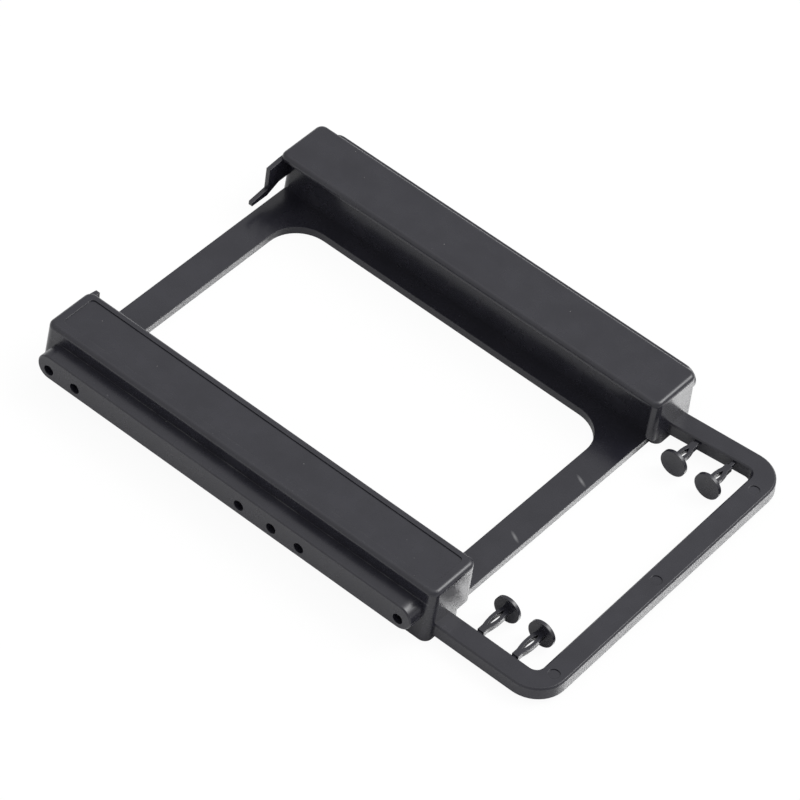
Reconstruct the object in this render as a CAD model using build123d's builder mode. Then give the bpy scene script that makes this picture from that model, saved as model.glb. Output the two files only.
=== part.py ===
from build123d import *
import os

# Drive bay adapter bracket: one black moulding that carries a small drive in a larger bay.
# Two hollow rails stand on a thin windowed plate. The sprue runner still joins the rails' ends and
# carries four split push pins on their gates, so the whole moulding is one solid.

# Bay and drive, which set the width over the strips and the width of the slot
bay_width = 101.6
drive_width = 69.85
drive_clearance = 0.2

# Rails; each reaches past the outer screw holes by its insets and ends in a stop under its lip
hole_span = 101.6
near_inset = 5.7
far_inset = 4.8
stop_inset = 5.5
rail_height = 15.2
rail_draft = 0.6
near_lip = 3.6
far_lip = 3.1
lip_thickness = 1.5
wall = 1.8
rib = 1.4
pocket_count = 6
rail_corner = 2.0
top_round = 1.2
stop_thickness = 1.8
stop_bottom = 3.1
stop_corner = 1.8

# Recessed panel in the near rail's top
panel_rim_end = 2.5
panel_rim_lip = 1.9
panel_rim_wall = 2.8
panel_depth = 0.25
panel_corner = 1.0

# Side strips and their screw holes; the middle holes are measured from the first one
near_strip_depth = 4.7
far_strip_depth = 3.6
strip_height = 6.8
strip_bottom = 4.5
strip_edge = 0.3
hole_height = 7.25
hole_diameter = 2.7
middle_holes = (7.75, 56.2, 65.55, 73.5)

# Base plate and its window
plate_thickness = 2.0
plate_left = -55.2
plate_right = 54.1
strap_left = 8.0
strap_right = 7.65
ledge = 5.0
window_corner = 8.8

# Springy tabs at the end where the drive goes in
tab_thickness = 1.1
near_tab_reach = 2.1
far_tab_reach = 4.2
tab_slope = 0.45
tab_drop = 6.2
finger_reach = 5.3
finger_slope = 0.8
finger_height = 1.9
finger_rise = 1.85
finger_run = 4.0

# Sprue runner
runner_bottom = 1.55
runner_height = 3.1
runner_draft = 4.0
runner_reach = 30.25
runner_skew = 1.6
runner_corner = 8.0
runner_inner_corner = 2.0
runner_edge = 0.35
arm_width = 6.0
arm_inset = 6.1
arm_splay = 2.6
bar_width = 6.2
mark_diameter = 2.7
mark_depth = 0.2
mark_inset = 8.0

# Push pins on the runner
pin_spacing = 9.6
near_pin_place = 7.95
far_pin_place = 7.4
near_shank = 9.3
far_shank = 7.8
pin_rise = 1.95
head_diameter = 6.8
head_thickness = 0.9
neck_width = 1.9
bulge_width = 2.6
tip_width = 1.7
tip_length = 1.6
gate_width = 0.8
gate_length = 0.4
prong_height = 1.4
eye_width = 1.0
eye_margin = 1.5

# Places that follow from the sizes above; x is measured from the middle of the outer screw holes
rail_stop = hole_span / 2 + stop_inset
near_entry = -hole_span / 2 - near_inset
far_entry = -hole_span / 2 - far_inset
inner_wall = drive_width / 2 + drive_clearance
lip_underside = rail_height - lip_thickness
hole_places = [step - hole_span / 2 for step in (0, *middle_holes, hole_span)]
arm_outer = bay_width / 2 - arm_inset
arm_inner = arm_outer - arm_width
bar_near = rail_stop + runner_reach
bar_far = bar_near - runner_skew
pin_height = runner_bottom + pin_rise
sunk = wall / 2
rail_middle = (rail_draft - near_entry - bar_near) / 2

os.makedirs("parts", exist_ok=True)
middle = Plane((rail_middle, 0, 0))
near_end = Plane((rail_middle + near_entry, 0, 0), x_dir=(0, 1, 0), z_dir=(1, 0, 0))
far_end = Plane((rail_middle + far_entry, 0, 0), x_dir=(0, 1, 0), z_dir=(1, 0, 0))
stop_end = Plane((rail_middle + rail_stop, 0, 0), x_dir=(0, 1, 0), z_dir=(1, 0, 0))
far_face = Plane((rail_middle, bay_width / 2, 0), x_dir=(-1, 0, 0), z_dir=(0, 1, 0))


def rail(entry, lip, strip_depth):
    """A rail on the far side: a hollow drafted body, a lipped top plate, a stop and a strip of screw holes."""
    outer_wall = bay_width / 2 - strip_depth
    lip_edge = inner_wall - lip
    length = rail_stop - entry
    width = outer_wall - inner_wall
    centre = ((rail_stop + entry) / 2, (outer_wall + inner_wall) / 2)
    with BuildPart() as made:
        # Body, which leans outwards at its foot on the outside and at the entry end
        with BuildSketch(middle):
            with Locations((centre[0] - rail_draft / 2, centre[1] + rail_draft / 2)):
                RectangleRounded(length + rail_draft, width + rail_draft, rail_corner)
        with BuildSketch(middle.offset(lip_underside)):
            with Locations(centre):
                RectangleRounded(length, width, rail_corner)
        loft(ruled=True)

        # Top plate, which overhangs the slot
        with BuildSketch(middle.offset(lip_underside)):
            with Locations((centre[0], (outer_wall + lip_edge) / 2)):
                RectangleRounded(length, outer_wall - lip_edge, rail_corner)
        extrude(amount=lip_thickness)
        fillet(made.faces().sort_by(Axis.Z)[-1].outer_wire().edges(), top_round)

        # Stop under the lip's end, with the top plate's corner and a rounded foot
        with BuildPart(mode=Mode.PRIVATE) as stop:
            with BuildSketch(middle.offset(stop_bottom)):
                with Locations((centre[0], (outer_wall + lip_edge) / 2)):
                    RectangleRounded(length, outer_wall - lip_edge, rail_corner)
                with Locations((rail_stop, lip_edge)):
                    Rectangle(2 * stop_thickness, 2 * (lip + rail_corner), mode=Mode.INTERSECT)
            extrude(amount=lip_underside - stop_bottom)
            with BuildSketch(stop_end):
                with Locations((lip_edge, stop_bottom)):
                    size = (outer_wall - lip_edge, rail_height)
                    RectangleRounded(*size, stop_corner, align=(Align.MIN, Align.MIN))
            extrude(amount=-2 * stop_thickness, mode=Mode.INTERSECT)
        add(stop.part)

        # Strip with lobed ends
        with BuildSketch(far_face):
            with Locations((0, strip_bottom + strip_height / 2)):
                SlotCenterToCenter(hole_span, strip_height)
        extrude(amount=-strip_depth - sunk)
        chamfer(made.faces().sort_by(Axis.Y)[-1].outer_wire().edges(), strip_edge)

        # Pockets that open downwards, parted by ribs
        pocket_pitch = (length - 2 * wall + rib) / pocket_count
        with BuildSketch(middle):
            with Locations(centre):
                with GridLocations(pocket_pitch, 0, pocket_count, 1):
                    Rectangle(pocket_pitch - rib, width - 2 * wall)
        extrude(amount=rail_height - wall, mode=Mode.SUBTRACT)

        # Screw holes through the strip and the wall behind it
        with BuildSketch(far_face):
            with Locations([(-place, hole_height) for place in hole_places]):
                Circle(hole_diameter / 2)
        extrude(amount=-strip_depth - wall - sunk, mode=Mode.SUBTRACT)
    return made.part


# Near rail: a rail turned over to the near side, with a shallow panel in its top
with BuildPart() as near_rail:
    mirror(rail(near_entry, near_lip, near_strip_depth), about=Plane.XZ)
    panel_lip = inner_wall - near_lip + panel_rim_lip
    panel_wall = bay_width / 2 - near_strip_depth - panel_rim_wall
    with BuildSketch(middle.offset(rail_height)):
        with Locations(((rail_stop + near_entry) / 2, -(panel_lip + panel_wall) / 2)):
            panel_length = rail_stop - near_entry - 2 * panel_rim_end
            RectangleRounded(panel_length, panel_wall - panel_lip, panel_corner)
    extrude(amount=-panel_depth, mode=Mode.SUBTRACT)

# Base plate between the rails, with a rounded window
with BuildPart() as plate:
    plate_side = inner_wall + sunk
    window_left = plate_left + strap_left
    window_right = plate_right - strap_right
    with BuildSketch(middle):
        with Locations(((plate_left + plate_right) / 2, 0)):
            Rectangle(plate_right - plate_left, 2 * plate_side)
        with Locations(((window_left + window_right) / 2, 0)):
            window_size = (window_right - window_left, 2 * (inner_wall - ledge))
            RectangleRounded(*window_size, window_corner, mode=Mode.SUBTRACT)
    extrude(amount=plate_thickness)

# Springy tabs under the lips at the entry end; the far one ends in a finger that frees it
with BuildPart() as tabs:
    tab_top = lip_underside - tab_slope
    tab_foot = tab_top - tab_drop
    tab_root = inner_wall + rail_corner
    near_tip = inner_wall - near_lip - near_tab_reach
    far_tip = inner_wall - far_lip - far_tab_reach
    finger_tip = far_tip - finger_reach
    finger_foot = tab_foot - finger_height
    with BuildSketch(far_end):
        with BuildLine():
            Polyline(
                (tab_root, lip_underside),
                (inner_wall - far_lip, lip_underside),
                (far_tip, tab_top),
                (far_tip, tab_foot),
                (finger_tip, tab_foot - finger_slope),
                (finger_tip, finger_foot),
                (far_tip, finger_foot),
                (far_tip + finger_run, finger_foot + finger_rise),
                (tab_root, finger_foot + finger_rise),
                close=True,
            )
        make_face()
    extrude(amount=tab_thickness)
    with BuildSketch(near_end):
        with BuildLine():
            Polyline(
                (-tab_root, lip_underside),
                (near_lip - inner_wall, lip_underside),
                (-near_tip, tab_top),
                (-near_tip, tab_foot),
                (-tab_root, tab_foot),
                close=True,
            )
        make_face()
    extrude(amount=tab_thickness)

# Sprue runner: two drafted arms and an end bar; the far arm splays and the bar lies askew
with BuildPart() as runner:
    root = rail_stop - sunk
    with BuildSketch(middle.offset(runner_bottom)):
        with BuildLine():
            FilletPolyline(
                (root, -arm_outer),
                (bar_near, -arm_outer),
                (bar_far, arm_outer + arm_splay),
                (root, arm_outer),
                radius=runner_corner,
            )
            FilletPolyline(
                (root, -arm_inner),
                (bar_near - bar_width, -arm_inner),
                (bar_far - bar_width, arm_inner + arm_splay),
                (root, arm_inner),
                radius=runner_inner_corner,
            )
            Line((root, -arm_outer), (root, -arm_inner))
            Line((root, arm_outer), (root, arm_inner))
        make_face()
    extrude(amount=runner_height)
    draft(runner.faces().filter_by(Axis.Z, reverse=True), middle.offset(runner_bottom), runner_draft)
    chamfer(runner.faces().sort_by(Axis.Z)[-1].outer_wire().edges().sort_by(Axis.X)[1:], runner_edge)

    # Round ejector marks along the bar
    bar_middle = (bar_near + bar_far - bar_width) / 2
    bar_lean = runner_skew / (2 * arm_outer)
    mark_row = arm_outer - mark_inset
    with BuildSketch(middle.offset(runner_bottom + runner_height)):
        with Locations([(bar_middle - bar_lean * y, y) for y in (-mark_row, 0, mark_row)]):
            Circle(mark_diameter / 2)
    extrude(amount=-mark_depth, mode=Mode.SUBTRACT)


def push_pin(shank):
    """A pin along +Y: flat head at the origin, shank that swells round an eye, blunt tip and gate."""
    tip = head_thickness + shank - gate_length
    throat = tip - tip_length
    swell_middle = (head_thickness + throat) / 2
    eye_half = (throat - head_thickness - eye_margin) / 2
    with BuildPart() as pin:
        with BuildSketch(Plane.XZ):
            Circle(head_diameter / 2)
        extrude(amount=-head_thickness)

        # Shank and eye, between arcs on both sides
        with BuildSketch(Plane.XY.offset(-prong_height / 2)):
            with BuildLine():
                side = ThreePointArc(
                    (neck_width / 2, head_thickness), (bulge_width / 2, swell_middle), (tip_width / 2, throat)
                )
                Polyline(side @ 1, (tip_width / 2, tip), (0, tip))
                Line(side @ 0, (0, head_thickness))
                mirror(about=Plane.YZ)
            make_face()
            with BuildLine():
                eye_ends = [(0, swell_middle - eye_half), (0, swell_middle + eye_half)]
                ThreePointArc(eye_ends[0], (eye_width / 2, swell_middle), eye_ends[1])
                ThreePointArc(eye_ends[0], (-eye_width / 2, swell_middle), eye_ends[1])
            make_face(mode=Mode.SUBTRACT)
        extrude(amount=prong_height)

        with BuildSketch(Plane.XZ.offset(-tip)):
            Rectangle(gate_width, gate_width)
        extrude(amount=-gate_length - arm_width / 2)
    return pin.part


# The whole moulding
with BuildPart() as adapter_bracket:
    add(rail(far_entry, far_lip, far_strip_depth))
    add(near_rail.part)
    add(plate.part)
    add(tabs.part)
    add(runner.part)
    near_pin = push_pin(near_shank)
    far_pin = push_pin(far_shank)
    far_row = arm_inner + arm_splay * far_pin_place / (bar_far - rail_stop)
    for step in (0, pin_spacing):
        near_x = rail_middle + rail_stop + near_pin_place + step
        far_x = rail_middle + rail_stop + far_pin_place + step
        near_head = Location((near_x, near_shank + head_thickness - arm_inner, pin_height), (0, 0, 180))
        far_head = Location((far_x, far_row - far_shank - head_thickness, pin_height))
        add(near_pin.moved(near_head))
        add(far_pin.moved(far_head))

adapter_bracket.part.label = "adapter_bracket"
export_step(adapter_bracket.part, "parts/adapter_bracket.step")
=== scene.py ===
"""Drive bay adapter bracket in black plastic, on a white table, seen as in the photograph."""
import math

import bpy
from mathutils import Matrix, Vector

MM = 0.001
WHITE = (1, 1, 1, 1)

# The photograph's camera, fitted to the rails, strips and plate
CAMERA_AZIMUTH = 33.404
CAMERA_ELEVATION = 46.671
CAMERA_ROLL = -8.966
CAMERA_DISTANCE = 1079.93 * MM
CAMERA_TARGET = Vector((-14.045, 0.0, 0.85)) * MM
CAMERA_ASIDE = (7.009 * MM, -1.277 * MM)
CAMERA_LENS = 216.0
CAMERA_SENSOR = 36.0
CAMERA_CLIP = (0.1, 20.0)

# Studio light: an even dome with soft lights in it, given as direction, strength and focus.
# Each fades until this cosine of the angle from its direction, and is even from there on
DOME_LIGHT = 0.6
SOFT_LIGHT_EDGE = 0.5
SOFT_LIGHTS = {
    "key": (Vector((0.374, 0.573, 0.729)), 9.0, 24.0),
    "overhead": (Vector((-0.05, 0.15, 1.0)), 0.8, 8.0),
    "fill": (Vector((-0.37, -0.73, 0.57)), 0.25, 3.0),
}

# White table, just under the object, with the share of gloss that reflections see
# and the share of shadow that the camera sees
TABLE_HALF = 4.0
TABLE_DROP = 0.02 * MM
TABLE_COLOUR = (0.85, 0.85, 0.85, 1)
TABLE_GLOSS = 0.30
TABLE_GLOSS_ROUGHNESS = 0.2
TABLE_SHADOW = 0.06

# Black plastic: shade and roughness that follow clouds, over shallow sinks and fine grain
PLASTIC_IOR = 1.5
PLASTIC_DARK = (0.0135, 0.0133, 0.0190, 1)
PLASTIC_LIGHT = (0.0170, 0.0168, 0.0235, 1)
PLASTIC_ROUGHNESS = (0.21, 0.30)
CLOUD = {"Scale": 140.0, "Detail": 3.0, "Roughness": 0.6}
CLOUD_SPAN = (0.3, 0.7)
SINKS = {"Scale": 70.0, "Detail": 1.0, "Roughness": 0.4}
SINKS_BUMP = {"Strength": 0.12, "Distance": 0.6 * MM}
GRAIN = {"Scale": 3200.0, "Detail": 2.0, "Roughness": 0.5}
GRAIN_BUMP = {"Strength": 0.045, "Distance": 0.04 * MM}

# Outer edges: softened, and paler where the rounded normal turns away from the face;
# the paler colour is partly wear and partly painted highlight. Not in corners,
# where the surface near by hides part of the sky
WORN_EDGE_AND_HIGHLIGHT = (0.040, 0.040, 0.045, 1)
EDGE_SOFTNESS = 0.2 * MM
EDGE_TURN = (0.995, 0.9)
CORNER_REACH = 1.5 * MM
CORNER_OPENNESS = (0.75, 0.95)
SHADER_SAMPLES = 6

# The span of the clouds over which the edges' wear and painted highlight, and the seam's painted
# highlight, go from faint to full
WEAR_AND_HIGHLIGHT_SPAN = (0.45, 0.65)
FAINT_WEAR_AND_HIGHLIGHT = 0.2

# Painted highlight along the parting line above the near strip
SEAM_HIGHLIGHT = (0.075, 0.075, 0.080, 1)
SEAM_HIGHLIGHT_WIDTH = 0.25 * MM
SEAM_PLACE = Vector((0.0, -46.2, 11.3)) * MM

# The strap's two marks, drawn as pale streaks that are painted highlights of their lit side, from
# end to end
MARK_HIGHLIGHT = (0.16, 0.16, 0.165, 1)
MARK_HIGHLIGHT_WIDTH = 0.5 * MM
STRAP_MARK_HIGHLIGHTS = (
    (Vector((34.9, 14.0, 2.0)) * MM, Vector((38.9, 12.2, 2.0)) * MM),
    (Vector((35.0, -9.5, 2.0)) * MM, Vector((38.7, -11.4, 2.0)) * MM),
)

# Dust
DUST = (0.30, 0.29, 0.28, 1)
SPECK_SCALE = 250.0
SPECK_SIZE = 0.03

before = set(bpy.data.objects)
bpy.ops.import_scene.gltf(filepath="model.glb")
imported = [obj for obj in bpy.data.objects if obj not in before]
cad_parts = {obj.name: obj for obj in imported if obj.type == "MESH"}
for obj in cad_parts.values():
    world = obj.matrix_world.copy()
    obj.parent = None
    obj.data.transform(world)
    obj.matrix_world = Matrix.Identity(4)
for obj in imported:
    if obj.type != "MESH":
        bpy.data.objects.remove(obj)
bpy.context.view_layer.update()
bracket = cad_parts["adapter_bracket"]


def node(tree, kind, **values):
    """A new node of one kind; values are its attributes, or inputs with underscores for spaces."""
    made = tree.nodes.new(kind)
    for key, value in values.items():
        if hasattr(made, key):
            setattr(made, key, value)
        else:
            made.inputs[key.replace("_", " ")].default_value = value
    return made


def mark_highlights(tree, where):
    """A mask with a soft streak, a painted highlight, at each of the strap's two marks."""
    mask = None
    for start, end in STRAP_MARK_HIGHLIGHTS:
        run = (end - start) / 2
        place = node(
            tree,
            "ShaderNodeMapping",
            vector_type="TEXTURE",
            Location=(start + end) / 2,
            Rotation=(0, 0, math.atan2(run.y, run.x)),
            Scale=(run.length, MARK_HIGHLIGHT_WIDTH, MARK_HIGHLIGHT_WIDTH),
        )
        streak = node(tree, "ShaderNodeTexGradient", gradient_type="SPHERICAL")
        tree.links.new(where, place.inputs["Vector"])
        tree.links.new(place.outputs["Vector"], streak.inputs["Vector"])
        if mask:
            both = node(tree, "ShaderNodeMath", operation="MAXIMUM")
            tree.links.new(mask, both.inputs[0])
            tree.links.new(streak.outputs["Fac"], both.inputs[1])
            mask = both.outputs["Value"]
        else:
            mask = streak.outputs["Fac"]
    return mask


def seam_highlight(tree, where):
    """A mask of the painted highlight along the parting line where the near strip's top meets its
    rail's wall.
    """
    place = node(
        tree,
        "ShaderNodeMapping",
        vector_type="POINT",
        Location=-SEAM_PLACE / SEAM_HIGHLIGHT_WIDTH,
        Scale=(0, 1 / SEAM_HIGHLIGHT_WIDTH, 1 / SEAM_HIGHLIGHT_WIDTH),
    )
    line = node(tree, "ShaderNodeTexGradient", gradient_type="SPHERICAL")
    tree.links.new(where, place.inputs["Vector"])
    tree.links.new(place.outputs["Vector"], line.inputs["Vector"])
    return line.outputs["Fac"]


def span(tree, value, limits, **ends):
    """A value spread from 0 to 1, or between the given ends, over the span between two limits."""
    spread = node(tree, "ShaderNodeMapRange", From_Min=limits[0], From_Max=limits[1], **ends)
    tree.links.new(value, spread.inputs["Value"])
    return spread.outputs["Result"]


def soft_edges(tree):
    """The normal, rounded off at outer edges but not in corners, and a mask of those edges."""
    face = node(tree, "ShaderNodeNewGeometry")
    rounded = node(tree, "ShaderNodeBevel", samples=SHADER_SAMPLES, Radius=EDGE_SOFTNESS)
    corners = node(
        tree,
        "ShaderNodeAmbientOcclusion",
        samples=SHADER_SAMPLES,
        only_local=True,
        Distance=CORNER_REACH,
    )
    normal = node(tree, "ShaderNodeMix", data_type="VECTOR")
    sharp, soft = normal.inputs[4:6]
    softened = normal.outputs[1]
    turned = node(tree, "ShaderNodeVectorMath", operation="DOT_PRODUCT")
    openness = span(tree, corners.outputs["AO"], CORNER_OPENNESS)
    tree.links.new(openness, normal.inputs["Factor"])
    tree.links.new(face.outputs["Normal"], sharp)
    tree.links.new(rounded.outputs["Normal"], soft)
    tree.links.new(softened, turned.inputs[0])
    tree.links.new(face.outputs["Normal"], turned.inputs[1])
    return softened, span(tree, turned.outputs["Value"], EDGE_TURN)


def broken_up(tree, mask, cloud):
    """A mask that fades in and out with the clouds."""
    both = node(tree, "ShaderNodeMath", operation="MULTIPLY")
    tree.links.new(mask, both.inputs[0])
    tree.links.new(span(tree, cloud, WEAR_AND_HIGHLIGHT_SPAN, To_Min=FAINT_WEAR_AND_HIGHLIGHT), both.inputs[1])
    return both.outputs["Value"]


def dust(tree, where):
    """A mask of sparse fine specks."""
    cells = node(tree, "ShaderNodeTexVoronoi", Scale=SPECK_SCALE)
    tree.links.new(where, cells.inputs["Vector"])
    return span(tree, cells.outputs["Distance"], (SPECK_SIZE, 0.0))


def plastic():
    """Black moulded plastic: half gloss, fine grain and shallow sinks, with wear, dust and painted
    highlights.
    """
    material = bpy.data.materials.new("moulded_plastic")
    material.use_nodes = True
    tree = material.node_tree
    shader = tree.nodes["Principled BSDF"]
    shader.inputs["IOR"].default_value = PLASTIC_IOR
    where = node(tree, "ShaderNodeTexCoord").outputs["Object"]
    textures = [node(tree, "ShaderNodeTexNoise", **values) for values in (CLOUD, SINKS, GRAIN)]
    for texture in textures:
        tree.links.new(where, texture.inputs["Vector"])
    cloud, sinks, grain = (texture.outputs["Fac"] for texture in textures)

    # Soft edges under shallow sinks and fine grain
    normal, edges = soft_edges(tree)
    for height, values in ((sinks, SINKS_BUMP), (grain, GRAIN_BUMP)):
        bump = node(tree, "ShaderNodeBump", **values)
        tree.links.new(height, bump.inputs["Height"])
        tree.links.new(normal, bump.inputs["Normal"])
        normal = bump.outputs["Normal"]
    tree.links.new(normal, shader.inputs["Normal"])

    # Cloudy black, paler where it is worn or dusty, with painted highlights on outer edges, the
    # seam and the strap's marks
    tint = node(tree, "ShaderNodeValToRGB")
    shades = (PLASTIC_DARK, PLASTIC_LIGHT)
    for stop, place, shade in zip(tint.color_ramp.elements, CLOUD_SPAN, shades):
        stop.position = place
        stop.color = shade
    tree.links.new(cloud, tint.inputs["Fac"])
    colour = tint.outputs["Color"]
    layers = (
        # Outer edges: paler colour that is partly wear and partly painted highlight
        (broken_up(tree, edges, cloud), WORN_EDGE_AND_HIGHLIGHT),
        # Painted highlight along the parting line above the near strip
        (broken_up(tree, seam_highlight(tree, where), cloud), SEAM_HIGHLIGHT),
        # The strap's two marks: pale streaks that are painted highlights of their lit side
        (mark_highlights(tree, where), MARK_HIGHLIGHT),
        (dust(tree, where), DUST),
    )
    for mask, paler in layers:
        layer = node(tree, "ShaderNodeMix", data_type="RGBA")
        layer.inputs["B"].default_value = paler
        tree.links.new(mask, layer.inputs["Factor"])
        tree.links.new(colour, layer.inputs["A"])
        colour = layer.outputs["Result"]
    tree.links.new(colour, shader.inputs["Base Color"])

    smooth, rough = PLASTIC_ROUGHNESS
    roughness = span(tree, cloud, CLOUD_SPAN, To_Min=smooth, To_Max=rough)
    tree.links.new(roughness, shader.inputs["Roughness"])
    return material


def white_to_camera(tree, seen, lit):
    """A shader that the camera sees as even white, while light and reflections see the lit one."""
    path = node(tree, "ShaderNodeLightPath")
    mix = node(tree, "ShaderNodeMixShader")
    tree.links.new(path.outputs["Is Camera Ray"], mix.inputs["Fac"])
    tree.links.new(lit, mix.inputs[1])
    tree.links.new(seen, mix.inputs[2])
    return mix.outputs["Shader"]


def table():
    """A wide white table top under the object."""
    mesh = bpy.data.meshes.new("table_top")
    signs = ((-1, -1), (1, -1), (1, 1), (-1, 1))
    corners = [(x * TABLE_HALF, y * TABLE_HALF, 0) for x, y in signs]
    mesh.from_pydata(corners, [], [(0, 1, 2, 3)])
    top = bpy.data.objects.new("table_top", mesh)
    bpy.context.scene.collection.objects.link(top)
    top.location.z = -TABLE_DROP
    material = bpy.data.materials.new("white_table")
    material.use_nodes = True
    tree = material.node_tree
    tree.nodes.remove(tree.nodes["Principled BSDF"])
    matt = node(tree, "ShaderNodeBsdfDiffuse", Color=TABLE_COLOUR)
    gloss = node(tree, "ShaderNodeBsdfGlossy", Color=WHITE, Roughness=TABLE_GLOSS_ROUGHNESS)
    white = node(tree, "ShaderNodeEmission", Color=WHITE, Strength=1.0)
    lit = node(tree, "ShaderNodeMixShader", Fac=TABLE_GLOSS)
    seen = node(tree, "ShaderNodeMixShader", Fac=TABLE_SHADOW)
    for mix, first, second in ((lit, matt, gloss), (seen, white, matt)):
        tree.links.new(first.outputs[0], mix.inputs[1])
        tree.links.new(second.outputs[0], mix.inputs[2])
    surface = tree.nodes["Material Output"].inputs["Surface"]
    tree.links.new(white_to_camera(tree, seen.outputs[0], lit.outputs[0]), surface)
    mesh.materials.append(material)


def surroundings():
    """A studio dome with soft lights in it, and white where the camera looks past the table."""
    world = bpy.data.worlds.new("studio")
    bpy.context.scene.world = world
    world.use_nodes = True
    tree = world.node_tree
    tree.nodes.remove(tree.nodes["Background"])
    where = node(tree, "ShaderNodeTexCoord")
    lit = node(tree, "ShaderNodeBackground", Color=WHITE)
    seen = node(tree, "ShaderNodeBackground", Color=WHITE, Strength=1.0)
    level = None
    for direction, strength, focus in SOFT_LIGHTS.values():
        facing = node(tree, "ShaderNodeVectorMath", operation="DOT_PRODUCT")
        facing.inputs[1].default_value = direction.normalized()
        ahead = node(tree, "ShaderNodeMath", operation="MAXIMUM")
        ahead.inputs[1].default_value = SOFT_LIGHT_EDGE
        narrowed = node(tree, "ShaderNodeMath", operation="POWER")
        narrowed.inputs[1].default_value = focus
        added = node(tree, "ShaderNodeMath", operation="MULTIPLY_ADD")
        added.inputs[1].default_value = strength
        added.inputs[2].default_value = DOME_LIGHT
        tree.links.new(where.outputs["Generated"], facing.inputs[0])
        tree.links.new(facing.outputs["Value"], ahead.inputs[0])
        tree.links.new(ahead.outputs["Value"], narrowed.inputs[0])
        tree.links.new(narrowed.outputs["Value"], added.inputs[0])
        if level:
            tree.links.new(level, added.inputs[2])
        level = added.outputs["Value"]
    tree.links.new(level, lit.inputs["Strength"])
    surface = tree.nodes["World Output"].inputs["Surface"]
    tree.links.new(white_to_camera(tree, seen.outputs[0], lit.outputs[0]), surface)


def camera():
    """The photograph's camera, with its roll."""
    angles = (CAMERA_AZIMUTH, CAMERA_ELEVATION, CAMERA_ROLL)
    azimuth, elevation, roll = map(math.radians, angles)
    right = Vector((math.cos(azimuth), math.sin(azimuth), 0))
    level_back = Vector((math.sin(azimuth), -math.cos(azimuth), 0))
    back = level_back * math.cos(elevation) + Vector((0, 0, math.sin(elevation)))
    up = back.cross(right)
    rolled_right = right * math.cos(roll) - up * math.sin(roll)
    rolled_up = right * math.sin(roll) + up * math.cos(roll)
    aim = CAMERA_TARGET + rolled_right * CAMERA_ASIDE[0] + rolled_up * CAMERA_ASIDE[1]
    data = bpy.data.cameras.new("camera")
    data.sensor_width = CAMERA_SENSOR
    data.lens = CAMERA_LENS
    data.clip_start, data.clip_end = CAMERA_CLIP
    seen_from = bpy.data.objects.new("camera", data)
    turn = Matrix((rolled_right, rolled_up, back)).transposed().to_4x4()
    seen_from.matrix_world = Matrix.Translation(aim + back * CAMERA_DISTANCE) @ turn
    bpy.context.scene.collection.objects.link(seen_from)
    bpy.context.scene.camera = seen_from


bracket.data.materials.clear()
bracket.data.materials.append(plastic())
table()
surroundings()
camera()
bpy.context.scene.view_settings.view_transform = "Standard"
